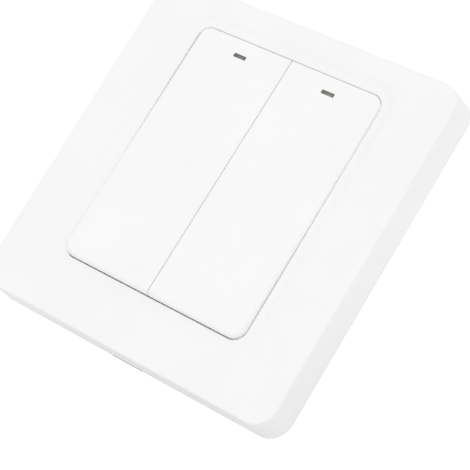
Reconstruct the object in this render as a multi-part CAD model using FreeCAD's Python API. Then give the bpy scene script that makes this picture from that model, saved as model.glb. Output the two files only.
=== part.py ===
import FreeCAD, Part
import math
import os

Vector = FreeCAD.Vector

# Two-gang wireless wall switch: a square plate with two long press keys over a battery transmitter.
# Millimetres. The wall is the plane Z = 0, +Z points into the room and +Y up the wall.
# The origin is the centre of the back. The keys take their width and length from what lies under them,
# and the plate takes its size from its margins round the keys. Its side walls widen towards the wall,
# where they make the standard 86 mm square.

# Front frame
plate_corner_r = 5.2
plate_edge_r = 0.6
plate_flare = 0.4
frame_wall = 2.0
frame_face = 2.0
frame_lift = 0.3
top_margin = 8.4
bottom_margin = 14.0
recess_depth = 0.45
recess_land = 1.6
recess_slope = 1.7
recess_blend_r = 2.5
opening_corner_r = 3.4
opening_rim = 0.2
well_wall = 1.2
well_depth = 2.2
stiffener_thickness = 1.0
stiffener_depth = 1.4
stiffener_pitch = 18.0
pry_width = 9.6
pry_height = 1.1
pry_shift = -0.9

# Keys
rocker_wall = 1.2
rocker_cap = 1.4
rocker_gap = 0.16
divider_gap = 0.16
rocker_edge_r = 1.1
hinge_edge_r = 0.3
divider_edge = 0.15
rock_angle = 1.3
skirt_room = 0.45
rib_thickness = 0.8
rib_depth = 1.2
rib_from_switch = 6.0
boss_span = 2.6
boss_clearance = 0.06
lip_width = 5.0
lip_reach = 0.75
lip_thickness = 0.8
lip_spread = 14.0
lip_notch_play = 0.6
stop_clearance = 0.08

# Key pivots
hinge_from_end = 3.65
hinge_rise = 1.7
pin_r = 0.9
pin_play = 0.05
pin_mouth = 1.5
pin_end_play = 0.3
ear_thickness = 1.6
ear_half = 1.7
ear_gap = 0.7
ear_top_room = 0.2
ear_flare = 0.3

# Indicator windows
window_width = 3.5
window_height = 0.95
window_from_end = 4.0
window_shift = 0.4
window_play = 0.04
window_inset = 0.05
lens_flange = 0.7
lens_flange_thickness = 0.6
lens_stem_width = 2.6
lens_stem_height = 1.3
lens_stem_length = 1.9

# Rear tray
base_floor = 1.2
base_gap = 0.3
base_step = 0.6
rim_wall = 1.2
rim_height = 1.8
hook_width = 6.0
hook_thickness = 1.1
hook_height = 3.8
hook_lead_in = 0.2
barb_reach = 0.65
barb_height = 1.0
barb_slope = 0.15
hook_play = 0.12
hook_spread = 44.0
ledge_height = 0.8
wall_screw_spacing = 60.3
wall_slot_width = 4.4
wall_slot_length = 8.0
slot_pad_margin = 1.8
slot_pad_height = 0.6
floor_rib_height = 1.2

# Carrier and board
carrier_plate = 1.0
carrier_inset = 0.5
carrier_rim = 0.8
carrier_web = 3.0
carrier_border = 2.0
stop_pad_length = 5.0
stop_pad_room = 0.08
board_thickness = 1.0
board_lift = 0.5
board_play = 0.2
headroom = 0.85

# Carrier screws
screw_from_low_end = 4.15
screw_from_high_end = 10.75
screw_from_side = 4.15
screw_shank_r = 0.88
screw_pilot_play = 0.02
screw_hole_r = 1.1
screw_head_r = 1.9
screw_head_depth = 0.15
screw_seat_play = 0.06
screw_grip = 2.9
screw_boss_r = 2.1
screw_boss_height = 1.8
screw_notch_play = 0.3

# Tactile switches
switch_from_holder = 13.88
switch_lever = 14.0
switch_size = 6.0
switch_height = 3.8
switch_body_height = 2.6
switch_cover = 0.2
switch_chamfer = 0.4
switch_room = 0.5
switch_lead_room = 1.8
plunger_r = 1.75
plunger_play = 0.1
flange_half = 2.0
flange_thickness = 1.0
dome_half = 1.9
dome_crown_half = 0.7
dome_sheet = 0.1
dome_rise = 0.4
dome_gap = 0.05
switch_lead_pitch = 4.5

# Coin cell and its holder
cell_diameter = 20.0
cell_thickness = 3.2
cell_cap_inset = 1.2
cell_cap_height = 0.3
cell_play = 0.15
holder_wall = 0.85
holder_room = 0.92
holder_height = 2.9
holder_margin = 0.7
claw_width = 4.0
claw_reach = 0.5
finger_notch = 9.0
contact_sheet = 0.25
contact_gap = 0.05
contact_width = 4.5
contact_foot = 1.5
contact_past_middle = 1.0
bottom_contact_length = 13.6

# Transmitter parts on the board
led_length = 2.0
led_width = 1.25
led_height = 0.8
led_lens_length = 1.2
led_room = 1.0
part_lift = 0.1
chip_length = 4.9
chip_width = 3.9
chip_height = 1.45
chip_edge = 0.25
chip_leads = 8
chip_pitch = 1.27
chip_from_web = 7.0
chip_from_antenna = 8.3
can_length = 10.3
can_width = 3.8
can_height = 3.5
can_flange = 0.45
can_flange_reach = 0.4
can_from_side = 4.8
transistor_length = 2.9
transistor_width = 1.3
transistor_height = 1.0
transistor_lead_spread = 1.9
transistor_pitch = 3.4
resistor_size = (2.0, 1.25, 0.5)
capacitor_size = (2.0, 1.25, 0.8)
end_cap_length = 0.4
end_cap_height = 0.05
chips_in_row = 3
chip_row_pitch = 2.4
chip_row_inset = 1.9
chip_row_spread = 3.0
antenna_wire_r = 0.4
antenna_corner_r = 2.5
antenna_margin = 2.1
antenna_depth = 7.5

# Bent leads: rise above the board, width, sheet thickness, reach before the step down, reach of the foot
switch_lead = (0.9, 0.7, 0.2, 0.35, 1.3)
chip_lead = (0.55, 0.42, 0.2, 0.3, 1.05)
transistor_lead = (0.4, 0.4, 0.15, 0.2, 0.6)

# Smallest length that counts, when edges are picked or a slot's straight sides all but vanish
hair = 0.001

# Heights above the wall
board_low_z = base_floor + board_lift
board_top_z = board_low_z + board_thickness
carrier_top_z = board_top_z + carrier_plate
cell_low_z = board_top_z + contact_sheet
cell_top_z = cell_low_z + cell_thickness
contact_low_z = cell_top_z + contact_gap
contact_top_z = contact_low_z + contact_sheet
cover_low_z = board_top_z + switch_body_height
plunger_top_z = board_top_z + switch_height
tallest_top_z = max(plunger_top_z, contact_top_z, board_top_z + can_height)
cap_under_z = tallest_top_z + headroom
land_z = cap_under_z + rocker_cap
front_z = land_z + recess_depth
face_under_z = front_z - frame_face
skirt_low_z = carrier_top_z + skirt_room
hinge_z = carrier_top_z + hinge_rise

# Keys, opening and plate, seen from the front
holder_half = cell_diameter / 2.0 + cell_play + holder_wall
rocker_width = 2.0 * (holder_half + holder_room + rocker_wall)
cell_from_low_end = screw_from_low_end + screw_boss_r + holder_margin + carrier_border + holder_half
rocker_length = cell_from_low_end + switch_from_holder + holder_half + switch_lever + hinge_from_end
plate_size = top_margin + rocker_length + 2.0 * rocker_gap + bottom_margin
plate_half = plate_size / 2.0
opening_half = divider_gap / 2.0 + rocker_width + rocker_gap
opening_high_y = plate_half - top_margin
opening_low_y = bottom_margin - plate_half
rocker_low_x = divider_gap / 2.0
rocker_high_x = rocker_low_x + rocker_width
rocker_mid_x = (rocker_low_x + rocker_high_x) / 2.0
rocker_high_y = opening_high_y - rocker_gap
rocker_low_y = opening_low_y + rocker_gap
rocker_corner_r = opening_corner_r - rocker_gap
hinge_y = rocker_high_y - hinge_from_end
window_x = rocker_mid_x - window_shift
window_y = rocker_high_y - window_from_end
switch_y = hinge_y - switch_lever
travel = switch_lever * math.sin(math.radians(rock_angle))
base_half = plate_half - frame_wall - base_gap
rim_half = base_half - base_step

# Places on the board: the hollow of the left key holds the cell, that of the right key the transmitter
screw_x = rocker_high_x - screw_from_side
screw_low_y = rocker_low_y + screw_from_low_end
screw_high_y = rocker_high_y - screw_from_high_end
room_low_x = carrier_web / 2.0
room_high_x = opening_half - carrier_inset - carrier_border
cell_x = -(room_low_x + room_high_x) / 2.0
cell_y = rocker_low_y + cell_from_low_end
room_low_y = screw_low_y + screw_boss_r + holder_margin
room_high_y = switch_y - switch_size / 2.0 - switch_room - carrier_border
antenna_low_x = room_low_x + antenna_margin
antenna_high_x = room_high_x - antenna_margin
antenna_low_y = room_low_y + antenna_margin
antenna_high_y = antenna_low_y + antenna_depth
chip_y = antenna_high_y + chip_from_antenna


def block(x_low, x_high, y_low, y_high, z_low, z_high):
    """Box between two corners."""
    corner = Vector(x_low, y_low, z_low)
    return Part.makeBox(x_high - x_low, y_high - y_low, z_high - z_low, corner)


def centred_block(x, y, z_low, length_x, length_y, height):
    """Box standing on z_low over a centre point."""
    return block(x - length_x / 2.0, x + length_x / 2.0, y - length_y / 2.0, y + length_y / 2.0,
                 z_low, z_low + height)


def disc(x, y, z_low, z_high, radius):
    """Upright cylinder between two heights."""
    return Part.makeCylinder(radius, z_high - z_low, Vector(x, y, z_low))


def octagon(x, y, z, half):
    """Corners of a closed octagon, half its width across flats given."""
    radius = half / math.cos(math.pi / 8.0)
    angles = [math.pi * (2 * index + 1) / 8.0 for index in range(9)]
    return [Vector(x + radius * math.cos(angle), y + radius * math.sin(angle), z) for angle in angles]


def eight_sided(x, y, z_low, z_high, half_low, half_high):
    """Octagonal post or cap, which small repeated round forms use to keep their faces few."""
    low = octagon(x, y, z_low, half_low)
    high = octagon(x, y, z_high, half_high)
    faces = [Part.Face(Part.makePolygon(low)), Part.Face(Part.makePolygon(high))]
    for side in range(8):
        corners = [low[side], low[side + 1], high[side + 1], high[side], low[side]]
        faces.append(Part.Face(Part.makePolygon(corners)))
    return Part.makeSolid(Part.Shell(faces))


def rounded_outline(x_low, x_high, y_low, y_high, radius, z):
    """Closed wire of a rectangle with round corners."""
    inset = radius * (1.0 - math.sqrt(0.5))
    corners = [(x_high, y_low, -1, 1), (x_high, y_high, -1, -1),
               (x_low, y_high, 1, -1), (x_low, y_low, 1, 1)]
    arcs = []
    for index, (x, y, to_x, to_y) in enumerate(corners):
        beside_x = Vector(x + to_x * radius, y, z)
        beside_y = Vector(x, y + to_y * radius, z)
        middle = Vector(x + to_x * inset, y + to_y * inset, z)
        first, last = (beside_x, beside_y) if index % 2 == 0 else (beside_y, beside_x)
        arcs.append((first, middle, last))
    edges = []
    for index, (first, middle, last) in enumerate(arcs):
        edges.append(Part.Arc(first, middle, last).toShape())
        edges.append(Part.makeLine(last, arcs[(index + 1) % 4][0]))
    return Part.Wire(edges)


def rounded_block(x_low, x_high, y_low, y_high, z_low, z_high, radius):
    """Upright block with round vertical edges."""
    face = Part.Face(rounded_outline(x_low, x_high, y_low, y_high, radius, z_low))
    return face.extrude(Vector(0, 0, z_high - z_low))


def slot_block(x, y, z_low, length, width, height):
    """Upright block with round ends and straight sides, on z_low over a centre point."""
    radius = min(length, width) / 2.0 - hair
    return rounded_block(x - length / 2.0, x + length / 2.0, y - width / 2.0, y + width / 2.0,
                         z_low, z_low + height, radius)


def opening_outline(offset, z):
    """Outline of the key opening, set outwards by an offset."""
    return rounded_outline(-opening_half - offset, opening_half + offset, opening_low_y - offset,
                           opening_high_y + offset, opening_corner_r + offset, z)


def opening_block(offset, z_low, z_high):
    """Upright block over the key opening's outline, set outwards by an offset."""
    return Part.Face(opening_outline(offset, z_low)).extrude(Vector(0, 0, z_high - z_low))


def prism(points, depth):
    """Flat polygon through 3-D points, pushed along a vector."""
    return Part.Face(Part.makePolygon(points + [points[0]])).extrude(depth)


def joined(shapes):
    """One clean solid from touching shapes."""
    return shapes[0].multiFuse(shapes[1:]).removeSplitter()


def mirrored(shape):
    """The same shape on the left of the centre plane."""
    return shape.mirror(Vector(0, 0, 0), Vector(1, 0, 0))


def tilted(shape):
    """A piece drawn with its key pressed in, turned out to the key's rest position."""
    turned = shape.copy()
    turned.rotate(Vector(0, hinge_y, hinge_z), Vector(1, 0, 0), -rock_angle)
    return turned


def upright_edges(shape):
    """Edges that run straight up."""
    return [edge for edge in shape.Edges if max(edge.BoundBox.XLength, edge.BoundBox.YLength) < hair]


def edges_at_height(shape, z, within_half=None):
    """Edges that lie flat at one height, optionally only those inside a square."""
    found = []
    for edge in shape.Edges:
        box = edge.BoundBox
        if abs(box.ZMin - z) > hair or abs(box.ZMax - z) > hair:
            continue
        if within_half and max(abs(box.XMin), abs(box.XMax)) > within_half + hair:
            continue
        found.append(edge)
    return found


def around_sides(shape):
    """Four copies of a piece drawn on the +X side, one for each side of the plate."""
    copies = []
    for quarter in range(4):
        turned = shape.copy()
        turned.rotate(Vector(0, 0, 0), Vector(0, 0, 1), 90.0 * quarter)
        copies.append(turned)
    return copies


def spaced(low, high, pitch):
    """Places about one pitch apart, evenly spread between two ends."""
    count = max(1, round((high - low) / pitch))
    step = (high - low) / count
    return [low + step * (index + 0.5) for index in range(count)]


# Front frame: a drafted shell with a dished land and a deep well around the keys
def drafted_shell():
    """Hollow plate whose side walls widen towards the wall, with a soft front edge."""
    rear_half = plate_half + plate_flare
    rear_corner_r = plate_corner_r + plate_flare
    rear = rounded_outline(-rear_half, rear_half, -rear_half, rear_half, rear_corner_r, frame_lift)
    front = rounded_outline(-plate_half, plate_half, -plate_half, plate_half, plate_corner_r, front_z)
    shell = Part.makeLoft([rear, front], True, True)
    shell = shell.makeFillet(plate_edge_r, edges_at_height(shell, front_z))
    inner_half = plate_half - frame_wall
    hollow = rounded_block(-inner_half, inner_half, -inner_half, inner_half, 0.0, face_under_z,
                           plate_corner_r - frame_wall)
    return shell.cut(hollow)


def dished(shell):
    """The shell with its shallow recess and the opening for the keys."""
    dish_low = opening_outline(recess_land, land_z)
    dish_high = opening_outline(recess_land + 2.0 * recess_slope, land_z + 2.0 * recess_depth)
    shell = shell.cut(Part.makeLoft([dish_low, dish_high], True, True))
    dish_half = opening_half + recess_land + recess_slope
    dish_edges = edges_at_height(shell, land_z) + edges_at_height(shell, front_z, dish_half)
    shell = shell.makeFillet(recess_blend_r, dish_edges)
    shell = shell.cut(opening_block(0.0, face_under_z, front_z))
    return shell.makeChamfer(opening_rim, edges_at_height(shell, land_z, opening_half))


def key_well():
    """Skirt behind the opening, with a notch for each of the keys' stop lips."""
    low_z = face_under_z - well_depth
    well = opening_block(well_wall, low_z, face_under_z).cut(opening_block(0.0, low_z, face_under_z))
    for sign in (-1, 1):
        for side in (-1, 1):
            x = sign * rocker_mid_x + side * lip_spread / 2.0
            well = well.cut(centred_block(x, opening_low_y - well_wall / 2.0, low_z,
                                          lip_width + 2.0 * lip_notch_play, 2.0 * well_wall, well_depth))
    return well


def front_frame():
    pieces = [dished(drafted_shell()), key_well()]
    inner_half = plate_half - frame_wall
    rib_low_z = face_under_z - stiffener_depth
    half_rib = stiffener_thickness / 2.0
    rib_end = inner_half + half_rib
    rib_start = well_wall - half_rib
    for y in spaced(-inner_half, inner_half, stiffener_pitch):
        rib = block(opening_half + rib_start, rib_end, y - half_rib, y + half_rib, rib_low_z, face_under_z)
        pieces.extend([rib, mirrored(rib)])
    for x in spaced(-opening_half, opening_half, stiffener_pitch):
        pieces.append(block(x - half_rib, x + half_rib, opening_high_y + rib_start, rib_end,
                            rib_low_z, face_under_z))
        pieces.append(block(x - half_rib, x + half_rib, -rib_end, opening_low_y - rib_start,
                            rib_low_z, face_under_z))

    ledge_high_z = base_floor + hook_height - barb_height - hook_play
    ledge_low_z = ledge_high_z - ledge_height
    ledge_x = rim_half + hook_play
    for shift in (-hook_spread / 2.0, hook_spread / 2.0):
        y = shift - hook_width / 2.0
        corners = [Vector(rib_end, y, ledge_low_z - barb_reach), Vector(ledge_x, y, ledge_low_z),
                   Vector(ledge_x, y, ledge_high_z), Vector(rib_end, y, ledge_high_z)]
        pieces.extend(around_sides(prism(corners, Vector(0, hook_width, 0))))

    notch = block(pry_shift - pry_width / 2.0, pry_shift + pry_width / 2.0, -plate_half - plate_flare,
                  -inner_half, frame_lift, frame_lift + pry_height)
    return joined(pieces).cut(notch)


# Rear tray: a flat floor with a locating rim, snap hooks, screw slots and countersunk screw seats
def snap_hook(shift):
    """Snap hook on the +X rim, with a sloped barb that catches over the frame's ledge."""
    y = shift - hook_width / 2.0
    top = base_floor + hook_height
    barb_low = top - barb_height
    corners = [Vector(rim_half - hook_thickness, y, base_floor), Vector(rim_half, y, base_floor),
               Vector(rim_half, y, barb_low), Vector(rim_half + barb_reach, y, barb_low + barb_slope),
               Vector(rim_half - hook_lead_in, y, top), Vector(rim_half - hook_thickness, y, top)]
    return prism(corners, Vector(0, hook_width, 0))


def screw_places():
    """The two opposite corners where the tray and the carrier are screwed together."""
    return [(-screw_x, screw_low_y), (screw_x, screw_high_y)]


def countersink(x, y, z_low, play):
    """Square-angled cone of a screw head from one height up to its shank, with play all round."""
    widest_r = screw_head_r + play + screw_head_depth - z_low
    narrow_r = screw_shank_r + play
    return Part.makeCone(widest_r, narrow_r, widest_r - narrow_r, Vector(x, y, z_low))


def wall_base():
    corner_r = plate_corner_r - frame_wall - base_gap
    pieces = [rounded_block(-base_half, base_half, -base_half, base_half, 0.0, base_floor, corner_r)]
    inner = rim_half - rim_wall
    straight = base_half - corner_r
    rim = block(inner, rim_half, -straight, straight, base_floor, base_floor + rim_height)
    pieces.extend(around_sides(rim))
    for shift in (-hook_spread / 2.0, hook_spread / 2.0):
        pieces.extend(around_sides(snap_hook(shift)))

    for x, y in screw_places():
        pieces.append(eight_sided(x, y, base_floor, board_low_z, screw_boss_r, screw_boss_r))
    rest_half = room_high_x - carrier_rim - board_play
    for y in spaced(screw_low_y, screw_high_y, stiffener_pitch):
        pieces.append(centred_block(0.0, y, base_floor, 2.0 * rest_half, rib_thickness, board_lift))

    outside = opening_half - carrier_inset + board_play
    pad_length = wall_slot_length + 2.0 * slot_pad_margin
    pad_width = wall_slot_width + 2.0 * slot_pad_margin
    for side in (-1, 1):
        pad = centred_block(side * wall_screw_spacing / 2.0, 0.0, base_floor, pad_length, pad_width,
                            slot_pad_height)
        pieces.append(pad.cut(block(-outside, outside, -plate_half, plate_half, base_floor, land_z)))
    for y in spaced(-inner, inner, stiffener_pitch):
        if abs(y) < pad_width / 2.0 + rib_thickness:
            continue
        rib = block(outside, inner + rim_wall / 2.0, y - rib_thickness / 2.0, y + rib_thickness / 2.0,
                    base_floor, base_floor + floor_rib_height)
        pieces.extend([rib, mirrored(rib)])

    base = joined(pieces)
    for side in (-1, 1):
        base = base.cut(slot_block(side * wall_screw_spacing / 2.0, 0.0, 0.0, wall_slot_length,
                                   wall_slot_width, base_floor + slot_pad_height))
    for x, y in screw_places():
        base = base.cut(countersink(x, y, 0.0, screw_seat_play))
        base = base.cut(disc(x, y, 0.0, board_low_z, screw_hole_r))
    return base


# Carrier: a plate over the board that holds the key pivots, press stops and screw bosses
def pivot_ear(x_low):
    """Upright ear with a snap-in bearing that is open towards the front."""
    top = cap_under_z - ear_top_room
    ear = block(x_low, x_low + ear_thickness, hinge_y - ear_half, hinge_y + ear_half, carrier_top_z, top)
    bearing = Part.makeCylinder(pin_r + pin_play, ear_thickness, Vector(x_low, hinge_y, hinge_z),
                                Vector(1, 0, 0))
    throat = pin_mouth / 2.0
    flare_z = top - ear_flare
    mouth = [Vector(x_low, hinge_y - throat, hinge_z), Vector(x_low, hinge_y + throat, hinge_z),
             Vector(x_low, hinge_y + throat, flare_z), Vector(x_low, hinge_y + pin_r, top),
             Vector(x_low, hinge_y - pin_r, top), Vector(x_low, hinge_y - throat, flare_z)]
    return ear.cut(bearing).cut(prism(mouth, Vector(ear_thickness, 0, 0)))


def ear_places():
    """Lower X of the two ears inside the right key."""
    inner = rocker_low_x + rocker_wall + ear_gap
    outer = rocker_high_x - rocker_wall - ear_gap - ear_thickness
    return [inner, outer]


def button_carrier():
    plate = opening_block(-carrier_inset, base_floor, carrier_top_z)
    plate = plate.cut(opening_block(-carrier_inset - carrier_rim, base_floor, board_top_z))
    for side in (-1, 1):
        x = side * rocker_mid_x
        low, high = sorted((side * room_low_x, side * room_high_x))
        plate = plate.cut(block(low, high, room_low_y, room_high_y, board_top_z, carrier_top_z))
        plate = plate.cut(centred_block(x, switch_y, board_top_z, switch_size + 2.0 * switch_lead_room,
                                        switch_size + 2.0 * switch_room, carrier_plate))
        plate = plate.cut(centred_block(side * window_x, window_y, board_top_z, led_length + 2.0 * led_room,
                                        led_width + 2.0 * led_room, carrier_plate))

    right = [pivot_ear(x_low) for x_low in ear_places()]
    pad_top = skirt_low_z - stop_pad_room
    for shift in (-1, 1):
        x = rocker_mid_x + shift * lip_spread / 2.0
        right.append(centred_block(x, rocker_low_y + rocker_wall, carrier_top_z, stop_pad_length,
                                   rocker_wall, pad_top - carrier_top_z))
    boss_top = carrier_top_z + screw_boss_height
    bosses = [eight_sided(x, y, board_low_z, boss_top, screw_boss_r, screw_boss_r)
              for x, y in screw_places()]
    carrier = joined([plate] + right + [mirrored(shape) for shape in right] + bosses)
    pilot_r = screw_shank_r + screw_pilot_play
    for x, y in screw_places():
        carrier = carrier.cut(disc(x, y, board_low_z, board_low_z + screw_grip, pilot_r))
    return carrier


# Keys: drawn pressed in and level, hollow from behind, then tilted out about the pivot
def rocker_shell():
    """Right key without its fittings: well rounded on the outer side and the lower end, crisp elsewhere."""
    far_y = rocker_high_y + rocker_corner_r
    blank = block(rocker_low_x, rocker_high_x, rocker_low_y, far_y, skirt_low_z, land_z)
    blank = blank.makeFillet(rocker_corner_r, [edge for edge in upright_edges(blank)
                                               if edge.BoundBox.XMin > rocker_mid_x
                                               and edge.BoundBox.YMax < hinge_y])
    rim = [edge for edge in edges_at_height(blank, land_z)
           if edge.BoundBox.XMax > rocker_low_x + hair and edge.BoundBox.YMin < hinge_y]
    blank = blank.makeFillet(rocker_edge_r, rim)

    hinge_end = block(rocker_low_x, rocker_high_x, rocker_low_y, rocker_high_y, skirt_low_z, land_z)
    hinge_end = hinge_end.makeFillet(rocker_corner_r, [edge for edge in upright_edges(hinge_end)
                                                       if edge.BoundBox.XMin > rocker_mid_x
                                                       and edge.BoundBox.YMin > hinge_y])
    end_rim = [edge for edge in edges_at_height(hinge_end, land_z)
               if edge.BoundBox.YMax > rocker_high_y - hair and edge.BoundBox.XMax > rocker_low_x + hair]
    blank = blank.common(hinge_end.makeFillet(hinge_edge_r, end_rim))
    divider = [edge for edge in blank.Edges if edge.BoundBox.XMax < rocker_low_x + hair
               and edge.BoundBox.ZMax > skirt_low_z + hair]
    blank = blank.makeChamfer(divider_edge, divider)

    hollow = block(rocker_low_x + rocker_wall, rocker_high_x - rocker_wall, rocker_low_y + rocker_wall,
                   rocker_high_y - rocker_wall, skirt_low_z, cap_under_z)
    outer = [edge for edge in upright_edges(hollow) if edge.BoundBox.XMin > rocker_mid_x]
    return blank.cut(hollow.makeFillet(rocker_corner_r - rocker_wall, outer))


def rocker():
    inner_x = rocker_low_x + rocker_wall
    outer_x = rocker_high_x - rocker_wall
    pieces = [rocker_shell()]

    half_rib = rib_thickness / 2.0
    rib_low_z = cap_under_z - rib_depth
    frame_low_y = switch_y - rib_from_switch
    frame_high_y = switch_y + rib_from_switch
    for y in (room_low_y, frame_low_y, frame_high_y):
        pieces.append(block(inner_x - half_rib, outer_x + half_rib, y - half_rib, y + half_rib,
                            rib_low_z, cap_under_z))
    for x in (rocker_mid_x - rib_from_switch, rocker_mid_x + rib_from_switch):
        pieces.append(block(x - half_rib, x + half_rib, frame_low_y, frame_high_y, rib_low_z, cap_under_z))

    boss_low_z = plunger_top_z - travel + boss_clearance
    boss_height = cap_under_z - boss_low_z
    pieces.append(centred_block(rocker_mid_x, switch_y, boss_low_z, boss_span, rib_thickness, boss_height))
    pieces.append(centred_block(rocker_mid_x, switch_y, boss_low_z, rib_thickness, boss_span, boss_height))

    ears = ear_places()
    axis = Vector(1, 0, 0)
    inner_pin_end = ears[0] + ear_thickness + pin_end_play
    outer_pin_end = ears[1] - pin_end_play
    for start, end in ((inner_x - half_rib, inner_pin_end), (outer_pin_end, outer_x + half_rib)):
        pieces.append(Part.makeCylinder(pin_r, end - start, Vector(start, hinge_y, hinge_z), axis))

    lip_low_y = rocker_low_y - lip_reach
    lip_travel = (hinge_y - lip_low_y) * math.sin(math.radians(rock_angle))
    lip_top_z = face_under_z - stop_clearance - lip_travel
    for side in (-1, 1):
        x = rocker_mid_x + side * lip_spread / 2.0
        pieces.append(block(x - lip_width / 2.0, x + lip_width / 2.0, lip_low_y, rocker_low_y + half_rib,
                            lip_top_z - lip_thickness, lip_top_z))

    window = centred_block(window_x, window_y, cap_under_z, window_width, window_height, rocker_cap)
    return joined(pieces).cut(window)


def indicator_lens():
    """Smoky window pressed in from behind, with a flange and a stem that gathers the light."""
    window = centred_block(window_x, window_y, cap_under_z, window_width - 2.0 * window_play,
                           window_height - 2.0 * window_play, rocker_cap - window_inset)
    stem_top = cap_under_z - lens_flange_thickness
    flange = centred_block(window_x, window_y, stem_top, window_width + 2.0 * lens_flange,
                           window_height + 2.0 * lens_flange, lens_flange_thickness)
    stem = centred_block(window_x, window_y, stem_top - lens_stem_length, lens_stem_width, lens_stem_height,
                         lens_stem_length)
    return joined([window, flange, stem])


# Circuit board, notched round the two screw bosses
def circuit_board():
    inset = carrier_inset + carrier_rim + board_play
    half = opening_half - inset
    board = block(-half, half, opening_low_y + inset, opening_high_y - inset, board_low_z, board_top_z)
    board = board.makeChamfer(opening_corner_r - inset, upright_edges(board))
    reach = screw_boss_r + screw_notch_play
    corner = block(-opening_half, -screw_x + reach, opening_low_y, screw_low_y + reach,
                   board_low_z, board_top_z)
    bay = block(screw_x - reach, opening_half, screw_high_y - reach, screw_high_y + reach,
                board_low_z, board_top_z)
    return board.cut(corner).cut(bay)


# Tactile switch: moulded housing, steel cover, round plunger, snap dome and four gull-wing leads
def gull_lead(size):
    """One lead that leaves the housing in +X, steps down and ends in a flat foot on the board."""
    rise, width, sheet, step, foot = size
    profile = [Vector(0, 0, rise + sheet), Vector(0, 0, rise), Vector(step, 0, rise), Vector(step, 0, 0),
               Vector(foot, 0, 0), Vector(foot, 0, sheet), Vector(step + sheet, 0, sheet),
               Vector(step + sheet, 0, rise + sheet)]
    lead = prism(profile, Vector(0, width, 0))
    lead.translate(Vector(0, -width / 2.0, 0))
    return lead


def lead_pair(size, half_body, x, y):
    """The same lead on both sides of a housing over a point of the board."""
    right = gull_lead(size)
    right.translate(Vector(half_body, 0, 0))
    left = mirrored(right)
    for shape in (right, left):
        shape.translate(Vector(x, y, board_top_z))
    return [right, left]


def dome_floor_z():
    """Height of the chamber floor that the snap dome stands on."""
    return cover_low_z - dome_gap - flange_thickness - dome_gap - dome_rise - dome_sheet


def switch_body(x, y):
    body = centred_block(x, y, board_top_z, switch_size, switch_size, switch_body_height)
    body = body.makeChamfer(switch_chamfer, upright_edges(body))
    chamber = 2.0 * (flange_half + plunger_play)
    return body.cut(centred_block(x, y, dome_floor_z(), chamber, chamber, cover_low_z - dome_floor_z()))


def switch_cover_plate(x, y):
    plate = centred_block(x, y, cover_low_z, switch_size, switch_size, switch_cover)
    plate = plate.makeChamfer(switch_chamfer, upright_edges(plate))
    return plate.cut(disc(x, y, cover_low_z, cover_low_z + switch_cover, plunger_r + plunger_play))


def switch_plunger(x, y):
    """Round stem on a square flange, which keeps the plunger from turning and from falling out."""
    flange_top = cover_low_z - dome_gap
    flange = centred_block(x, y, flange_top - flange_thickness, 2.0 * flange_half, 2.0 * flange_half,
                           flange_thickness)
    return joined([flange, disc(x, y, flange_top, plunger_top_z, plunger_r)])


def switch_dome(x, y):
    """Thin snap dome of sheet steel, trimmed to eight sides, standing on its rim."""
    low_z = dome_floor_z()
    inside = eight_sided(x, y, low_z, low_z + dome_rise, dome_half, dome_crown_half)
    outside = inside.copy()
    outside.translate(Vector(0, 0, dome_sheet))
    rim = eight_sided(x, y, low_z, low_z + dome_sheet, dome_half, dome_half)
    return joined([outside, rim]).cut(inside)


def switch_terminals(x, y):
    leads = []
    for shift in (-switch_lead_pitch / 2.0, switch_lead_pitch / 2.0):
        leads.extend(lead_pair(switch_lead, switch_size / 2.0, x, y + shift))
    return Part.makeCompound(leads)


# Coin cell, its holder and its two contacts
def coin_cell():
    """Wide can with the smaller cap of the other pole underneath."""
    can_r = cell_diameter / 2.0
    cap_r = can_r - cell_cap_inset
    step_z = cell_low_z + cell_cap_height
    cap = disc(cell_x, cell_y, cell_low_z, step_z, cap_r)
    return joined([cap, disc(cell_x, cell_y, step_z, cell_top_z, can_r)])


def cell_holder():
    """Tray with cut corners, a finger notch and two claws that reach over the cell."""
    top = board_top_z + holder_height
    pocket_r = cell_diameter / 2.0 + cell_play
    tray = centred_block(cell_x, cell_y, board_top_z, 2.0 * holder_half, 2.0 * holder_half, holder_height)
    corner_cut = holder_half - pocket_r * math.tan(math.pi / 8.0) - holder_wall
    tray = tray.makeChamfer(corner_cut, upright_edges(tray))
    claws = []
    for side in (-1, 1):
        inner_x = cell_x + side * (cell_diameter / 2.0 - claw_reach)
        low, high = sorted((inner_x, cell_x + side * holder_half))
        claws.append(block(low, high, cell_y - claw_width / 2.0, cell_y + claw_width / 2.0,
                           top, contact_top_z))
    holder = joined([tray] + claws)
    holder = holder.cut(disc(cell_x, cell_y, board_top_z, contact_low_z, pocket_r))
    return holder.cut(centred_block(cell_x, cell_y - holder_half, board_top_z + contact_sheet, finger_notch,
                                    holder_half, holder_height))


def cell_top_contact():
    """Bent spring strip: soldered foot, riser beside the holder and an arm over the cell."""
    riser_y = cell_y + holder_half + contact_sheet
    foot_top = board_top_z + contact_sheet
    arm_y = cell_y - contact_past_middle
    profile = [(riser_y + contact_foot, board_top_z), (riser_y + contact_foot, foot_top),
               (riser_y + contact_sheet, foot_top), (riser_y + contact_sheet, contact_top_z),
               (arm_y, contact_top_z), (arm_y, contact_low_z), (riser_y, contact_low_z),
               (riser_y, board_top_z)]
    low_x = cell_x - contact_width / 2.0
    return prism([Vector(low_x, y, z) for y, z in profile], Vector(contact_width, 0, 0))


def cell_bottom_contact():
    """Flat strip under the cell."""
    return centred_block(cell_x, cell_y, board_top_z, bottom_contact_length, contact_width, contact_sheet)


# Transmitter parts, all soldered flat on the board's front
def indicator_led(x, y):
    body = centred_block(x, y, board_top_z, led_length, led_width, led_height / 2.0)
    lens = centred_block(x, y, board_top_z + led_height / 2.0, led_lens_length, led_width, led_height / 2.0)
    return joined([body, lens])


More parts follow.
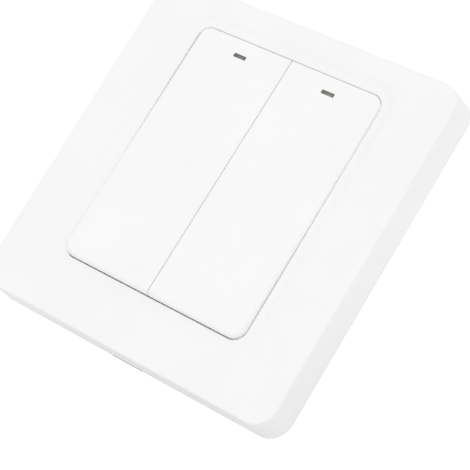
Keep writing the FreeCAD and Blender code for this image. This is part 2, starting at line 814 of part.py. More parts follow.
def encoder_chip():
    x = room_low_x + chip_from_web
    body = centred_block(x, chip_y, board_top_z + part_lift, chip_width, chip_length,
                         chip_height - part_lift)
    body = body.makeChamfer(chip_edge, edges_at_height(body, board_top_z + chip_height))
    pieces = [body]
    for shift in spaced(-chip_leads * chip_pitch / 4.0, chip_leads * chip_pitch / 4.0, chip_pitch):
        pieces.extend(lead_pair(chip_lead, chip_width / 2.0, x, chip_y + shift))
    return joined(pieces)


def resonator_can():
    x = room_high_x - can_from_side
    flange = slot_block(x, chip_y, board_top_z, can_width + 2.0 * can_flange_reach,
                        can_length + 2.0 * can_flange_reach, can_flange)
    can = slot_block(x, chip_y, board_top_z + can_flange, can_width, can_length, can_height - can_flange)
    return joined([flange, can])


def transistors():
    """Two small three-leg transistors in the row nearer the chip."""
    y = antenna_low_y + chip_row_inset + chip_row_spread
    solids = []
    for index in range(2):
        x = antenna_high_x - chip_row_inset - index * transistor_pitch
        body = centred_block(x, y, board_top_z + part_lift, transistor_width, transistor_length,
                             transistor_height - part_lift)
        pieces = [body, lead_pair(transistor_lead, transistor_width / 2.0, x, y)[1]]
        for shift in (-transistor_lead_spread / 2.0, transistor_lead_spread / 2.0):
            pieces.append(lead_pair(transistor_lead, transistor_width / 2.0, x, y + shift)[0])
        solids.append(joined(pieces))
    return Part.makeCompound(solids)


def chip_row(size, x_start, direction, row):
    """A row of surface-mount chips with their end caps, side by side from a starting point."""
    length, width, height = size
    y = antenna_low_y + chip_row_inset + row * chip_row_spread
    solids = []
    for index in range(chips_in_row):
        x = x_start + direction * (chip_row_inset + index * chip_row_pitch)
        pieces = [centred_block(x, y, board_top_z, width, length - 2.0 * end_cap_length,
                                height - end_cap_height)]
        for side in (-1, 1):
            cap_y = y + side * (length - end_cap_length) / 2.0
            pieces.append(centred_block(x, cap_y, board_top_z, width, end_cap_length, height))
        solids.append(joined(pieces))
    return solids


def resistors():
    rows = [chip_row(resistor_size, antenna_low_x, 1, row) for row in range(2)]
    return Part.makeCompound(rows[0] + rows[1])


def capacitors():
    return Part.makeCompound(chip_row(capacitor_size, antenna_high_x, -1, 0))


def antenna_wire():
    """Open loop of stiff wire soldered flat on the board."""
    z = board_top_z + antenna_wire_r
    corner = antenna_corner_r
    inset = corner * (1.0 - math.sqrt(0.5))
    start = Vector(antenna_low_x, antenna_high_y, z)
    left_bend = [Vector(antenna_low_x, antenna_low_y + corner, z),
                 Vector(antenna_low_x + inset, antenna_low_y + inset, z),
                 Vector(antenna_low_x + corner, antenna_low_y, z)]
    right_bend = [Vector(antenna_high_x - corner, antenna_low_y, z),
                  Vector(antenna_high_x - inset, antenna_low_y + inset, z),
                  Vector(antenna_high_x, antenna_low_y + corner, z)]
    end = Vector(antenna_high_x, antenna_high_y, z)
    path = Part.Wire([Part.makeLine(start, left_bend[0]), Part.Arc(*left_bend).toShape(),
                      Part.makeLine(left_bend[2], right_bend[0]), Part.Arc(*right_bend).toShape(),
                      Part.makeLine(right_bend[2], end)])
    section = Part.makePolygon(octagon(0.0, 0.0, 0.0, antenna_wire_r))
    section.rotate(Vector(0, 0, 0), Vector(1, 0, 0), 90)
    section.translate(start)
    return path.makePipeShell([section], True, True)


# Self-tapping screws that hold the carrier to the tray, driven from behind
def carrier_screws():
    screws = []
    for x, y in screw_places():
        tip = board_low_z + screw_grip - screw_shank_r / 2.0
        head_top = screw_head_depth + screw_head_r - screw_shank_r
        head = countersink(x, y, screw_head_depth, 0.0)
        screws.append(joined([head, disc(x, y, head_top, tip, screw_shank_r)]))
    return Part.makeCompound(screws)


right_key = tilted(rocker())
right_lens = tilted(indicator_lens())
pieces = {
    "wall_base": wall_base(),
    "front_frame": front_frame(),
    "button_carrier": button_carrier(),
    "rocker_left": mirrored(right_key),
    "rocker_right": right_key,
    "indicator_lens_left": mirrored(right_lens),
    "indicator_lens_right": right_lens,
    "circuit_board": circuit_board(),
    "cell_holder": cell_holder(),
    "cell_top_contact": cell_top_contact(),
    "cell_bottom_contact": cell_bottom_contact(),
    "coin_cell": coin_cell(),
    "encoder_chip": encoder_chip(),
    "resonator_can": resonator_can(),
    "transistors": transistors(),
    "resistors": resistors(),
    "capacitors": capacitors(),
    "antenna_wire": antenna_wire(),
    "carrier_screws": carrier_screws(),
}
for side_name, side in (("left", -1), ("right", 1)):
    side_x = side * rocker_mid_x
    pieces["switch_body_" + side_name] = switch_body(side_x, switch_y)
    pieces["switch_cover_" + side_name] = switch_cover_plate(side_x, switch_y)
    pieces["switch_plunger_" + side_name] = switch_plunger(side_x, switch_y)
    pieces["switch_dome_" + side_name] = switch_dome(side_x, switch_y)
    pieces["switch_terminals_" + side_name] = switch_terminals(side_x, switch_y)
    pieces["indicator_led_" + side_name] = indicator_led(side * window_x, window_y)

os.makedirs("parts", exist_ok=True)
for name, shape in pieces.items():
    shape.exportStep("parts/" + name + ".step")
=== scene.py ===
import bmesh
import bpy
import math
from mathutils import Matrix, Vector


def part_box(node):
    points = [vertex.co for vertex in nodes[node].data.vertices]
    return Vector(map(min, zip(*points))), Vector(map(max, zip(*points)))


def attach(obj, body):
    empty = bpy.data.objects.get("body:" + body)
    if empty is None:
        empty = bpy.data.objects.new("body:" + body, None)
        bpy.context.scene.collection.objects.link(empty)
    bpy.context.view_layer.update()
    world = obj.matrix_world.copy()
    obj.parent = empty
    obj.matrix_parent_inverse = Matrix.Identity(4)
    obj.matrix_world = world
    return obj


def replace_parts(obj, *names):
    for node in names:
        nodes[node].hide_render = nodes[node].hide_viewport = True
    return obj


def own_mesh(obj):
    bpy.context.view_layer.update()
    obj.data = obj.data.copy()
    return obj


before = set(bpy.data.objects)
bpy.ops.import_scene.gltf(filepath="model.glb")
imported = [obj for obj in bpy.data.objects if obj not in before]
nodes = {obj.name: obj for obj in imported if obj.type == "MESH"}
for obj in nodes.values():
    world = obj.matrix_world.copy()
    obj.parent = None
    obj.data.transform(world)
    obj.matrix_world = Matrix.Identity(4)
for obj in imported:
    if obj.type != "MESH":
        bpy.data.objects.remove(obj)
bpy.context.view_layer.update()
mm = 0.001


# Front frame: one square moulded ABS plate with a dished land round the keys, snapped over the tray.
# ABS gives a soft white satin with a very fine grain from the mould, and edges a little glossier than
# the
# faces. Gaps get painted light: their colour is whitened where they are shut in, standing in for light
# that seeps through white plastic.

def linear(code):
    """Linear RGBA of an sRGB hex colour."""
    channels = [int(code[i:i + 2], 16) / 255.0 for i in (1, 3, 5)]
    bent = [c / 12.92 if c <= 0.04045 else ((c + 0.055) / 1.055) ** 2.4 for c in channels]
    return (*bent, 1.0)


def add(tree, kind, values=None, links=None, **settings):
    """One shader node with its settings, socket values and incoming links."""
    node = tree.nodes.new("ShaderNode" + kind)
    for name, value in settings.items():
        setattr(node, name, value)
    for socket, value in (values or {}).items():
        node.inputs[socket].default_value = value
    for socket, source in (links or {}).items():
        tree.links.new(source, node.inputs[socket])
    return node


def noise_scale(size):
    """A noise texture's scale, from the size of its pattern in millimetres."""
    return 1.0 / (size * mm)


def new_material(name, **values):
    """An empty material with one principled shader, whose even values are set on its sockets."""
    material = bpy.data.materials.new(name)
    material.use_nodes = True
    tree = material.node_tree
    shader = tree.nodes["Principled BSDF"]
    for socket, value in values.items():
        shader.inputs[socket.replace("_", " ")].default_value = value
    place = add(tree, "TexCoord").outputs["Object"]
    return material, tree, shader, place


def ramp(tree, source, stops):
    """Colour ramp over a value, from a list of places and colours."""
    node = add(tree, "ValToRGB", links={"Fac": source})
    band = node.color_ramp
    for index, (at, colour) in enumerate(stops):
        stop = band.elements[index] if index < 2 else band.elements.new(at)
        stop.position = at
        stop.color = colour
    return node.outputs["Color"]


def round_off(tree, radius):
    """The normal that rounds the sharp edges off. Radius in millimetres."""
    return add(tree, "Bevel", {"Radius": radius * mm}, samples=6).outputs[0]


def edge_mask(tree, rounded):
    """Soft 0 to 1 mask of the edges, where the rounded normal leaves the flat one."""
    flat = add(tree, "NewGeometry")
    match = add(tree, "VectorMath", links={0: rounded, 1: flat.outputs["Normal"]},
                operation="DOT_PRODUCT")
    mask = add(tree, "MapRange", {"From Min": 0.999, "From Max": 0.90},
               {"Value": match.outputs["Value"]})
    return mask.outputs[0]


def moulded(name, low, high, roughness, grain, depth, cloud=14.0, edge=0.15, painted_gap_light_reach=0.0, **values):
    """Moulded plastic: slow tone clouds, a fine mould grain and worn edges. Sizes in millimetres.
    Painted light: the colour is whitened in gaps narrower than painted_gap_light_reach, standing in for
    light that seeps through the skin."""
    material, tree, shader, place = new_material(name, **values)
    tone = add(tree, "TexNoise", {"Scale": noise_scale(cloud), "Detail": 4.0, "Roughness": 0.55},
               {"Vector": place})
    texture = add(tree, "TexNoise", {"Scale": noise_scale(grain), "Detail": 3.0, "Roughness": 0.6},
                  {"Vector": place})
    rounded = round_off(tree, edge)
    worn = edge_mask(tree, rounded)
    colour = ramp(tree, tone.outputs["Fac"], [(0.35, linear(low)), (0.65, linear(high))])
    # Painted light: the base colour turns white where ambient occlusion finds the surface shut in, so
    # the gaps look lit.
    if painted_gap_light_reach:
        shut_in = add(tree, "AmbientOcclusion", {"Distance": painted_gap_light_reach * mm}, samples=8)
        painted_gap_light_mask = add(tree, "MapRange", {"From Min": 0.88, "From Max": 0.38},
                     {"Value": shut_in.outputs["AO"]})
        painted_gap_light = add(tree, "Mix", {7: linear("#FFFFFF")}, {0: painted_gap_light_mask.outputs[0], 6: colour},
                   data_type="RGBA")
        colour = painted_gap_light.outputs[2]
    tree.links.new(colour, shader.inputs["Base Color"])
    spread = add(tree, "MapRange", {"To Min": roughness - 0.05, "To Max": roughness + 0.05},
                 {"Value": texture.outputs["Fac"]})
    smoother = add(tree, "MapRange", {"To Min": 1.0, "To Max": 0.82}, {"Value": worn})
    gloss = add(tree, "Math", links={0: spread.outputs[0], 1: smoother.outputs[0]},
                operation="MULTIPLY")
    tree.links.new(gloss.outputs[0], shader.inputs["Roughness"])
    bump = add(tree, "Bump", {"Strength": 1.0, "Distance": depth * mm},
               {"Height": texture.outputs["Fac"], "Normal": rounded})
    tree.links.new(bump.outputs[0], shader.inputs["Normal"])
    return material


def wear(name, material):
    """The CAD node takes a material in each of its slots."""
    for slot in nodes[name].material_slots:
        slot.material = material


frame_abs = moulded("frame_moulded_ABS", "#F0F0F0", "#F2F2F2", 0.42, 0.22, 0.0012, painted_gap_light_reach=1.2, IOR=1.54)
wear("front_frame", frame_abs)


# Keys: two long ABS rockers, hollow behind with ribs, and polished slightly more than the frame.
# The outer ends and sides are rounded, and the edges along the divider stay crisp.

key_abs = moulded("key_moulded_ABS", "#F1F1F1", "#F3F3F3", 0.34, 0.2, 0.0008, painted_gap_light_reach=0.3, IOR=1.54)
wear("rocker_left", key_abs)
wear("rocker_right", key_abs)


# Indicator windows: smoky polycarbonate pressed in from behind, almost flush with the key.
# The colour is painted: paler off the middle where the lamp below would show, which is painted light,
# and darker towards the rim, which is painted shade.

window_tints = {"left": {"body": "#7B7977", "painted_shade_rim": "#676563", "bright": "#A19E9B"},
                "right": {"body": "#807B76", "painted_shade_rim": "#6E6964", "bright": "#A7A099"}}
# Where the painted light sits, off the middle of each window.
patch_right = 0.5 * mm
patch_down = 0.3 * mm


def smoky(name, painted_light_at, body, painted_shade_rim, bright):
    """Smoky plastic with painted light in a paler spot, a body tone round it, and painted shade
    darkening the rim.
    """
    material, tree, shader, place = new_material(name, Roughness=0.18, IOR=1.585,
                                                 Transmission_Weight=0.25)
    shift = add(tree, "Mapping", {"Location": [-v for v in painted_light_at]}, {"Vector": place})
    squeeze = add(tree, "Mapping", {"Scale": (1.0, 2.2, 0.4)}, {"Vector": shift.outputs[0]})
    far = add(tree, "VectorMath", links={0: squeeze.outputs[0]}, operation="LENGTH")
    haze = add(tree, "TexNoise", {"Scale": noise_scale(0.625), "Detail": 3.0}, {"Vector": place})
    wobble = add(tree, "Math", {1: 0.9 * mm}, {0: haze.outputs["Fac"]}, operation="MULTIPLY")
    reach = add(tree, "Math", links={0: far.outputs["Value"], 1: wobble.outputs[0]}, operation="ADD")
    spread = add(tree, "MapRange", {"From Min": 0.3 * mm, "From Max": 2.6 * mm},
                 {"Value": reach.outputs[0]})
    # Painted light in the paler spot and painted shade towards the rim.
    tones = [(0.0, linear(bright)), (0.5, linear(body)), (1.0, linear(painted_shade_rim))]
    colour = ramp(tree, spread.outputs[0], tones)
    tree.links.new(colour, shader.inputs["Base Color"])
    fine = add(tree, "TexNoise", {"Scale": noise_scale(0.2), "Detail": 2.0}, {"Vector": place})
    rounded = round_off(tree, 0.06)
    bump = add(tree, "Bump", {"Strength": 1.0, "Distance": 0.0006 * mm},
               {"Height": fine.outputs["Fac"], "Normal": rounded})
    tree.links.new(bump.outputs[0], shader.inputs["Normal"])
    gloss = add(tree, "MapRange", {"To Min": 0.12, "To Max": 0.26}, {"Value": haze.outputs["Fac"]})
    tree.links.new(gloss.outputs[0], shader.inputs["Roughness"])
    return material


for side in ("left", "right"):
    low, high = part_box("indicator_lens_" + side)
    middle = (low + high) / 2.0
    painted_light_patch = (middle.x + patch_right, middle.y - patch_down, high.z)
    window = smoky("smoky_polycarbonate_" + side, painted_light_patch, **window_tints[side])
    wear("indicator_lens_" + side, window)


# Rear tray: ABS in a matt finish, screwed or taped to the wall, with ribs, slots and snap hooks.
# The coarser grain of its mould hides the sink marks behind the ribs.

tray_abs = moulded("tray_moulded_ABS", "#E6E6E4", "#EAEAE8", 0.55, 0.35, 0.004, IOR=1.54)
wear("wall_base", tray_abs)


# Carrier: the off-white ABS chassis that carries the key pivots over the board, screwed to the tray.
# It isn't seen in use, so its dull surface comes straight from a plain mould.

carrier_abs = moulded("carrier_moulded_ABS", "#DEDEDA", "#E4E4E0", 0.5, 0.3, 0.003, IOR=1.54)
wear("button_carrier", carrier_abs)


# Circuit board: glass-epoxy laminate under a green solder mask, about 1 mm thick.
# The glass weave shows faintly through the mask, and the cut edge is raw yellowish laminate.

# One glass thread every 0.286 mm: a wave texture repeats every tau / 20 metres over its scale.
weave_scale = 1100.0


def board_look():
    """Green mask over woven glass on the faces, and raw laminate on the cut edges."""
    material, tree, shader, place = new_material("solder_mask_on_laminate", IOR=1.55,
                                                 Coat_Weight=0.3, Coat_Roughness=0.12)
    weave = {"Scale": weave_scale, "Distortion": 0.6, "Detail": 1.0}
    warp = add(tree, "TexWave", weave, {"Vector": place}, bands_direction="X")
    weft = add(tree, "TexWave", weave, {"Vector": place}, bands_direction="Y")
    cloth = add(tree, "Math", links={0: warp.outputs["Fac"], 1: weft.outputs["Fac"]},
                operation="MULTIPLY")
    mask = ramp(tree, cloth.outputs[0], [(0.0, linear("#0E5230")), (1.0, linear("#17663E"))])
    raw = ramp(tree, cloth.outputs[0], [(0.0, linear("#A89B5E")), (1.0, linear("#BFB277"))])
    flat = add(tree, "NewGeometry")
    split = add(tree, "SeparateXYZ", links={0: flat.outputs["Normal"]})
    upright = add(tree, "Math", links={0: split.outputs["Z"]}, operation="ABSOLUTE")
    face = add(tree, "Math", {1: 0.5}, {0: upright.outputs[0]}, operation="GREATER_THAN")
    colour = add(tree, "Mix", links={0: face.outputs[0], 6: raw, 7: mask}, data_type="RGBA")
    tree.links.new(colour.outputs[2], shader.inputs["Base Color"])
    gloss = add(tree, "MapRange", {"To Min": 0.28, "To Max": 0.4}, {"Value": cloth.outputs[0]})
    tree.links.new(gloss.outputs[0], shader.inputs["Roughness"])
    bump = add(tree, "Bump", {"Strength": 1.0, "Distance": 0.006 * mm}, {"Height": cloth.outputs[0]})
    tree.links.new(bump.outputs[0], shader.inputs["Normal"])
    return material


wear("circuit_board", board_look())


# Tactile switches: black nylon body, stamped stainless cover riveted on at its corners, acetal plunger
# and dull tin-plated leads. The round snap dome of spring steel inside flattens as its plunger goes in;
# here it is built at rest.

tarnish = 20.0 / 9.0


def sheet_metal(name, low, high, roughness, lines, depth, along=(1.0, 1.0, 1.0)):
    """Metal with fine lines from rolling or drawing and a cloudy tarnish. Sizes in millimetres."""
    material, tree, shader, place = new_material(name, Metallic=1.0)
    stretch = add(tree, "Mapping", {"Scale": along}, {"Vector": place})
    streak = add(tree, "TexNoise", {"Scale": noise_scale(lines), "Detail": 3.0, "Roughness": 0.6},
                 {"Vector": stretch.outputs[0]})
    cloud = add(tree, "TexNoise", {"Scale": noise_scale(tarnish), "Detail": 3.0}, {"Vector": place})
    rounded = round_off(tree, 0.05)
    colour = ramp(tree, cloud.outputs["Fac"], [(0.3, linear(low)), (0.7, linear(high))])
    tree.links.new(colour, shader.inputs["Base Color"])
    spread = add(tree, "MapRange", {"To Min": roughness - 0.06, "To Max": roughness + 0.08},
                 {"Value": streak.outputs["Fac"]})
    tree.links.new(spread.outputs[0], shader.inputs["Roughness"])
    bump = add(tree, "Bump", {"Strength": 1.0, "Distance": depth * mm},
               {"Height": streak.outputs["Fac"], "Normal": rounded})
    tree.links.new(bump.outputs[0], shader.inputs["Normal"])
    return material


switch_nylon = moulded("switch_black_nylon", "#1A1A1B", "#232324", 0.5, 0.12, 0.003,
                       cloud=3.0, edge=0.06, IOR=1.53)
cover_steel = sheet_metal("rolled_stainless_sheet", "#B9B9B6", "#D0D0CD", 0.3, 0.05, 0.0006,
                          along=(1.0, 0.05, 1.0))
dome_steel = sheet_metal("spring_steel_dome", "#C4C4C0", "#DADAD6", 0.22, 0.08, 0.0004)
lead_tin = sheet_metal("tin_plated_leads", "#C8C8C4", "#DEDEDA", 0.38, 0.1, 0.001)
plunger_acetal = moulded("plunger_black_acetal", "#1E1E20", "#29292B", 0.36, 0.15, 0.001,
                         cloud=3.0, edge=0.08, IOR=1.48)


def turned(shape, rings, at, segments=24):
    """Body of revolution from rings of radius and height in millimetres.
    A radius may also be a function of the turn, from 0 to 1 round its ring."""
    loops = []
    for radius, height in rings:
        loop = []
        for step in range(segments):
            turn = step / segments
            reach = radius(turn) if callable(radius) else radius
            spoke = Vector((math.cos(math.tau * turn), math.sin(math.tau * turn), 0.0)) * reach
            loop.append(shape.verts.new((at + spoke + Vector((0.0, 0.0, height))) * mm))
        loops.append(loop)
    for low, high in zip(loops, loops[1:]):
        for step in range(segments):
            shape.faces.new((low[step - 1], low[step], high[step], high[step - 1]))
    return loops


def piece_from(name, shape, material):
    """A finished piece that rides on the housing: its mesh, smooth shading and finish."""
    bmesh.ops.remove_doubles(shape, verts=shape.verts, dist=0.002 * mm)
    bmesh.ops.recalc_face_normals(shape, faces=shape.faces)
    mesh = bpy.data.meshes.new(name)
    shape.to_mesh(mesh)
    shape.free()
    mesh.polygons.foreach_set("use_smooth", [True] * len(mesh.polygons))
    mesh.set_sharp_from_angle(angle=math.radians(35.0))
    mesh.materials.append(material)
    piece = bpy.data.objects.new(name, mesh)
    bpy.context.scene.collection.objects.link(piece)
    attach(piece, "housing")
    return piece


rivet_inset = 0.75
rivet_rings = [(0.0, 0.0), (0.38, 0.0), (0.37, 0.06), (0.31, 0.12), (0.19, 0.155), (0.0, 0.165)]
dome_rings = [(0.0, 0.4), (0.5, 0.385), (1.0, 0.32), (1.45, 0.18), (1.74, 0.02), (1.76, 0.0),
              (1.87, 0.0), (1.88, 0.03), (1.5, 0.28), (1.02, 0.425), (0.5, 0.487), (0.0, 0.5)]
for side in ("left", "right"):
    wear("switch_body_" + side, switch_nylon)
    wear("switch_cover_" + side, cover_steel)
    wear("switch_terminals_" + side, lead_tin)
    wear("switch_plunger_" + side, plunger_acetal)
    low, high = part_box("switch_cover_" + side)
    heads = bmesh.new()
    for x in (low.x / mm + rivet_inset, high.x / mm - rivet_inset):
        for y in (low.y / mm + rivet_inset, high.y / mm - rivet_inset):
            turned(heads, rivet_rings, Vector((x, y, high.z / mm)))
    piece_from("switch_rivets_" + side, heads, switch_nylon)
    low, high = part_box("switch_dome_" + side)
    foot = Vector(((low.x + high.x) / 2.0, (low.y + high.y) / 2.0, low.z))
    sheet = bmesh.new()
    turned(sheet, dome_rings, foot / mm)
    dome = piece_from("snap_dome_" + side, sheet, dome_steel)
    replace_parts(dome, "switch_dome_" + side)
    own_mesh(dome)


# Indicator lamps: surface-mount lamps, one soldered to the board below each window.
# Clear resin cast over a white base gives a milky, slightly yellow gloss.

milkiness = 2.0 / 3.0


def lamp_look():
    """Cast resin with a milky cloud in it."""
    material, tree, shader, place = new_material("lamp_clear_resin", IOR=1.52, Transmission_Weight=0.2)
    cloud = add(tree, "TexNoise", {"Scale": noise_scale(milkiness), "Detail": 2.0}, {"Vector": place})
    colour = ramp(tree, cloud.outputs["Fac"], [(0.3, linear("#E9E3C8")), (0.7, linear("#F4F0DC"))])
    tree.links.new(colour, shader.inputs["Base Color"])
    gloss = add(tree, "MapRange", {"To Min": 0.12, "To Max": 0.25}, {"Value": cloud.outputs["Fac"]})
    tree.links.new(gloss.outputs[0], shader.inputs["Roughness"])
    bump = add(tree, "Bump", {"Strength": 1.0, "Distance": 0.002 * mm},
               {"Height": cloud.outputs["Fac"]})
    tree.links.new(bump.outputs[0], shader.inputs["Normal"])
    return material


lamp_resin = lamp_look()
wear("indicator_led_left", lamp_resin)
wear("indicator_led_right", lamp_resin)


# Coin cell and its holder: a plated steel can in a moulded nylon tray, held by two spring strips.
# Plated nickel is bright with a faint haze, the nylon is a dull black, and the rolled strips are a
# little yellower and show their rolling lines.

cell_steel = sheet_metal("nickel_plated_cell", "#C9C8C3", "#D9D8D3", 0.26, 0.12, 0.0006)
holder_nylon = moulded("holder_black_nylon", "#1B1B1C", "#262627", 0.48, 0.2, 0.003,
                       cloud=5.0, edge=0.12, IOR=1.53)
strip_nickel = sheet_metal("nickel_spring_strip", "#C7C0B2", "#DAD4C8", 0.25, 0.06, 0.0006,
                           along=(0.05, 1.0, 1.0))
wear("coin_cell", cell_steel)
wear("cell_holder", holder_nylon)
wear("cell_top_contact", strip_nickel)
wear("cell_bottom_contact", strip_nickel)


# Transmitter parts: an encoder chip and two transistors in dull black epoxy, a bright drawn can, and
# rows of glazed resistors and tan ceramic capacitors, all soldered to the board by tinned ends.

chip_epoxy = moulded("chip_black_epoxy", "#19191A", "#212122", 0.6, 0.06, 0.004,
                     cloud=2.0, edge=0.05, IOR=1.55)
small_epoxy = moulded("transistor_black_epoxy", "#19191A", "#212122", 0.6, 0.06, 0.004,
                      cloud=2.0, edge=0.05, IOR=1.55)
can_nickel = sheet_metal("drawn_nickel_can", "#CFCCC4", "#DEDBD3", 0.2, 0.3, 0.0008)
resistor_body = moulded("resistor_black_glaze", "#1C1C1F", "#26262A", 0.28, 0.1, 0.001,
                        cloud=1.0, edge=0.04, IOR=1.6)
capacitor_body = moulded("capacitor_tan_ceramic", "#A98B62", "#B99A70", 0.4, 0.1, 0.002,
                         cloud=1.0, edge=0.04, IOR=1.6)


def tinned_ends(material, axis, middle, half, spacing):
    """Tin beyond half a body's length from the nearest of a row of middles. Sizes in millimetres."""
    tree = material.node_tree
    shader = tree.nodes["Principled BSDF"]
    place = add(tree, "TexCoord").outputs["Object"]
    split = add(tree, "SeparateXYZ", links={0: place})
    offset = add(tree, "Math", {1: middle * mm}, {0: split.outputs[axis]}, operation="SUBTRACT")
    fold = add(tree, "Math", {1: spacing * mm / 2.0}, {0: offset.outputs[0]}, operation="PINGPONG")
    tin = add(tree, "Math", {1: half * mm}, {0: fold.outputs[0]}, operation="GREATER_THAN")
    cloud = add(tree, "TexNoise", {"Scale": noise_scale(0.4), "Detail": 2.0}, {"Vector": place})
    bright = ramp(tree, cloud.outputs["Fac"], [(0.3, linear("#C8C8C4")), (0.7, linear("#DEDEDA"))])
    body = shader.inputs["Base Color"].links[0].from_socket
    colour = add(tree, "Mix", links={0: tin.outputs[0], 6: body, 7: bright}, data_type="RGBA")
    tree.links.new(colour.outputs[2], shader.inputs["Base Color"])
    tree.links.new(tin.outputs[0], shader.inputs["Metallic"])


chip_low, chip_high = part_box("encoder_chip")
transistors_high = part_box("transistors")[1]
resistors_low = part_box("resistors")[0]
half_transistor = 1.25
half_resistor = 1.0
chip_middle = (chip_low.x + chip_high.x) / 2.0 / mm
transistor_middle = transistors_high.x / mm - half_transistor
row_middle = resistors_low.y / mm + half_resistor
tinned_ends(chip_epoxy, "X", chip_middle, half=1.97, spacing=40.0)
tinned_ends(small_epoxy, "X", transistor_middle, half=0.67, spacing=3.4)
tinned_ends(resistor_body, "Y", row_middle, half=0.7, spacing=3.0)
tinned_ends(capacitor_body, "Y", row_middle, half=0.7, spacing=3.0)
wear("encoder_chip", chip_epoxy)
wear("transistors", small_epoxy)
wear("resonator_can", can_nickel)
wear("resistors", resistor_body)
wear("capacitors", capacitor_body)


# Antenna: a loop of stiff tinned copper wire, bent round two corners and soldered flat on the board.
# The drawn wire has a soft, slightly yellow shine, and the solder draws up round its ends in fillets.

wire_tin = sheet_metal("tinned_copper_wire", "#C9C5BB", "#DCD9D0", 0.32, 0.15, 0.002)
solder_tin = sheet_metal("soft_solder", "#C2C3C4", "#D6D7D8", 0.24, 0.4, 0.003)
low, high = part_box("antenna_wire")
wire_r = (high.z - low.z) / 2.0
bend_r = 2.5 * mm
quarter_pull = 0.5523
left, right, near = low.x + wire_r, high.x - wire_r, low.y + wire_r
stations = [((left, high.y), (0.0, -1.0)), ((left, near + bend_r), (0.0, -1.0)),
            ((left + bend_r, near), (1.0, 0.0)), ((right - bend_r, near), (1.0, 0.0)),
            ((right, near + bend_r), (0.0, 1.0)), ((right, high.y), (0.0, 1.0))]
loop = bpy.data.curves.new("antenna_loop", "CURVE")
loop.dimensions = "3D"
loop.bevel_depth = wire_r
loop.bevel_resolution = 6
loop.use_fill_caps = True
spline = loop.splines.new("BEZIER")
spline.bezier_points.add(len(stations) - 1)
for point, (at, along) in zip(spline.bezier_points, stations):
    pull = Vector((*along, 0.0)) * bend_r * quarter_pull
    point.co = Vector((*at, low.z + wire_r))
    point.handle_left = point.co - pull
    point.handle_right = point.co + pull
loop.materials.append(wire_tin)
antenna = bpy.data.objects.new("antenna_loop", loop)
bpy.context.scene.collection.objects.link(antenna)
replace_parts(antenna, "antenna_wire")
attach(antenna, "housing")

fillet = [(0.0, 0.0), (1.0, 0.0), (0.72, 0.1), (0.5, 0.36), (0.38, 0.75), (0.24, 0.97), (0.0, 1.03)]
board_z = low.z / mm
wire_end_in = 0.25
lead_in_x = 0.2
lead_in_y = 0.35
joints = bmesh.new()
wire_fillet = [(0.85 * radius, 0.78 * height) for radius, height in fillet]
lead_fillet = [(0.55 * radius, 0.3 * height) for radius, height in fillet]
for x in (left, right):
    turned(joints, wire_fillet, Vector((x / mm, high.y / mm - wire_end_in, board_z)))
for side in ("left", "right"):
    low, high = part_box("switch_terminals_" + side)
    for x in (low.x / mm + lead_in_x, high.x / mm - lead_in_x):
        for y in (low.y / mm + lead_in_y, high.y / mm - lead_in_y):
            turned(joints, lead_fillet, Vector((x, y, board_z)))
piece_from("solder_joints", joints, solder_tin)


# Carrier screws: two zinc-plated self-tapping screws, driven from the back of the tray.
# Each has a countersunk head with a cross recess, a coarse thread and a blunt tip.

screw_zinc = sheet_metal("zinc_plated_steel", "#B8BBBE", "#CDD0D2", 0.3, 0.1, 0.0015)
head_r = 1.9
head_edge = 0.06
thread_r = 0.88
root_r = 0.66
thread_pitch = 0.8
tip_r = 0.35
tip_high = 0.35
recess_deep = 0.75


def cross(shape, at, reach, width):
    """Corners of a cross-shaped outline round a point, anticlockwise."""
    half = width / 2.0
    arm = [Vector((half, half, 0.0)), Vector((half, reach, 0.0)), Vector((-half, reach, 0.0))]
    turns = [Matrix.Rotation(math.radians(90.0 * step), 3, "Z") for step in range(4)]
    return [shape.verts.new((at + turn @ corner) * mm) for turn in turns for corner in arm]


def ridge(height):
    """How the radius of the coarse thread goes round the screw at one height."""
    deep = thread_r - root_r
    return lambda turn: thread_r - deep * abs(2.0 * ((height / thread_pitch - turn) % 1.0) - 1.0)


def screw(shape, at, length):
    """One screw, standing on its countersunk head."""
    neck = head_r - thread_r
    rings = [(head_r - head_edge, 0.0), (head_r, head_edge), (thread_r, neck), (root_r, neck + 0.1)]
    height = neck + 0.2
    while height < length - 0.5:
        rings.append((ridge(height), height))
        height += thread_pitch / 8.0
    rings += [(root_r, length - tip_high), (tip_r, length), (0.0, length)]
    face = turned(shape, rings, at)[0]
    top = cross(shape, at, reach=1.05, width=0.5)
    deep = cross(shape, at + Vector((0.0, 0.0, recess_deep)), reach=0.45, width=0.32)
    rim = [shape.edges.get((face[i - 1], face[i])) for i in range(len(face))]
    slots = [shape.edges.new((top[i - 1], top[i])) for i in range(len(top))]
    bmesh.ops.triangle_fill(shape, use_beauty=True, edges=rim + slots)
    for i in range(len(top)):
        shape.faces.new((top[i - 1], top[i], deep[i], deep[i - 1]))
    shape.faces.new(deep)


low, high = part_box("carrier_screws")
pair = bmesh.new()
inset = Vector((head_r, head_r, 0.0))
for at in (low / mm + inset, Vector((high.x, high.y, low.z)) / mm - inset):
    screw(pair, at, (high.z - low.z) / mm)
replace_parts(piece_from("carrier_screw_pair", pair, screw_zinc), "carrier_screws")


# Stand: the plate lies on its back on a white table that runs on to the horizon.
# The table glows for the most part, so that only a trace of the plate's shadow is left on it.
# Under the pry notch of the lower wall its glow for the camera drops in a patch of the notch's size:
# painted shade.

table_half = 2000.0 * mm
table_drop = 0.02 * mm
dimmest_at = (12.0 * mm, -68.0 * mm, 0.0)
notch_middle = (-0.9 * mm, -40.0 * mm, 0.0)
notch_half = (4.8 * mm, 2.97 * mm, 0.0)


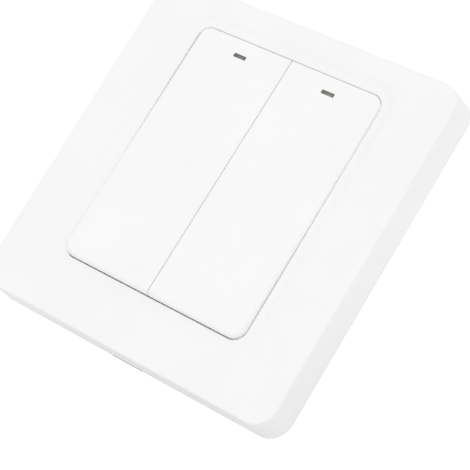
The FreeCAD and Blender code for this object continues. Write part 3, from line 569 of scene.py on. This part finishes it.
def stand():
    """A white table whose own glow is weakest in front of the lower wall, and drops to painted shade
    under the pry notch.
    """
    mesh = bpy.data.meshes.new("white_table")
    shape = bmesh.new()
    bmesh.ops.create_grid(shape, x_segments=8, y_segments=8, size=table_half)
    shape.to_mesh(mesh)
    shape.free()
    table = bpy.data.objects.new("white_table", mesh)
    bpy.context.scene.collection.objects.link(table)
    table.location.z = -table_drop
    material = bpy.data.materials.new("white_card")
    material.use_nodes = True
    tree = material.node_tree
    tree.nodes.remove(tree.nodes["Principled BSDF"])
    card = add(tree, "BsdfDiffuse", {"Color": linear("#A0A0A0")})
    place = add(tree, "TexCoord").outputs["Object"]
    shaded = add(tree, "VectorMath", {1: dimmest_at}, {0: place}, operation="DISTANCE")
    spread = add(tree, "MapRange", {"From Max": 85.0 * mm, "To Min": 0.36, "To Max": 0.62},
                 {"Value": shaded.outputs["Value"]})
    seen = add(tree, "LightPath").outputs["Is Camera Ray"]
    # Painted shade: for the camera, the glow drops in a patch the size of the pry notch, under it.
    from_notch = add(tree, "VectorMath", {1: notch_middle}, {0: place}, operation="SUBTRACT")
    quarter = add(tree, "VectorMath", links={0: from_notch.outputs[0]}, operation="ABSOLUTE")
    beyond = add(tree, "VectorMath", {1: notch_half}, {0: quarter.outputs[0]}, operation="SUBTRACT")
    apart = add(tree, "SeparateXYZ", links={0: beyond.outputs[0]})
    outside = add(tree, "Math", links={0: apart.outputs["X"], 1: apart.outputs["Y"]},
                  operation="MAXIMUM")
    notch_painted_shade = add(tree, "MapRange", {"From Max": 0.05 * mm, "To Min": 0.08, "To Max": 0.78},
                    {"Value": outside.outputs[0]})
    strength = add(tree, "Mix", links={"Factor": seen, "A": spread.outputs[0],
                                       "B": notch_painted_shade.outputs[0]})
    glow = add(tree, "Emission", {"Color": linear("#FFFFFF")}, {"Strength": strength.outputs[0]})
    both = add(tree, "AddShader", links={0: card.outputs[0], 1: glow.outputs[0]})
    tree.links.new(both.outputs[0], tree.nodes["Material Output"].inputs["Surface"])
    mesh.materials.append(material)
    return table


stand()


# Light: a white room that is brightest high up on the right and towards the windows' end.
# It has no single lamp, so no rounding carries a highlight and the shadows have no edge.

world = bpy.data.worlds.new("white_room")
bpy.context.scene.world = world
world.use_nodes = True
sky = world.node_tree
path = add(sky, "LightPath")
mirror = add(sky, "Math", links={0: path.outputs["Is Camera Ray"], 1: path.outputs["Is Glossy Ray"]},
             operation="MAXIMUM")
direct = add(sky, "Math", links={0: mirror.outputs[0], 1: path.outputs["Is Transmission Ray"]},
             operation="MAXIMUM")
towards = add(sky, "TexCoord").outputs["Generated"]
brightest_way = (0.17, 0.08, 0.982)
lean = add(sky, "VectorMath", {1: brightest_way}, {0: towards}, operation="DOT_PRODUCT")
room = add(sky, "MapRange", {"From Min": -1.0, "From Max": 1.0, "To Min": 0.285, "To Max": 1.215},
           {"Value": lean.outputs["Value"]})
level = add(sky, "Mix", {"B": 1.0}, {"Factor": direct.outputs[0], "A": room.outputs[0]})
background = sky.nodes["Background"]
background.inputs["Color"].default_value = linear("#FFFFFF")
sky.links.new(level.outputs[0], background.inputs["Strength"])


# Camera: a long lens, high at the front right, rolled so that one corner of the plate points down.
# It looks past the middle of the plate, which runs out of the picture at the top and the left.

camera = bpy.data.cameras.new("camera")
camera.sensor_width = 36.0
camera.lens = 147.04
camera.shift_x = -0.0702
camera.shift_y = -0.0596
camera.clip_start = 0.01
camera.clip_end = 50.0
eye = bpy.data.objects.new("camera", camera)
bpy.context.scene.collection.objects.link(eye)
eye.location = Vector((235.17, -69.67, 359.68)) * mm
aim = Vector((15.04, 1.02, 9.20)) * mm
roll = 43.863
look = (aim - eye.location).to_track_quat("-Z", "Y").to_matrix()
eye.rotation_euler = (look @ Matrix.Rotation(math.radians(-roll), 3, "Z")).to_euler()
bpy.context.scene.camera = eye
bpy.context.scene.view_settings.view_transform = "Standard"
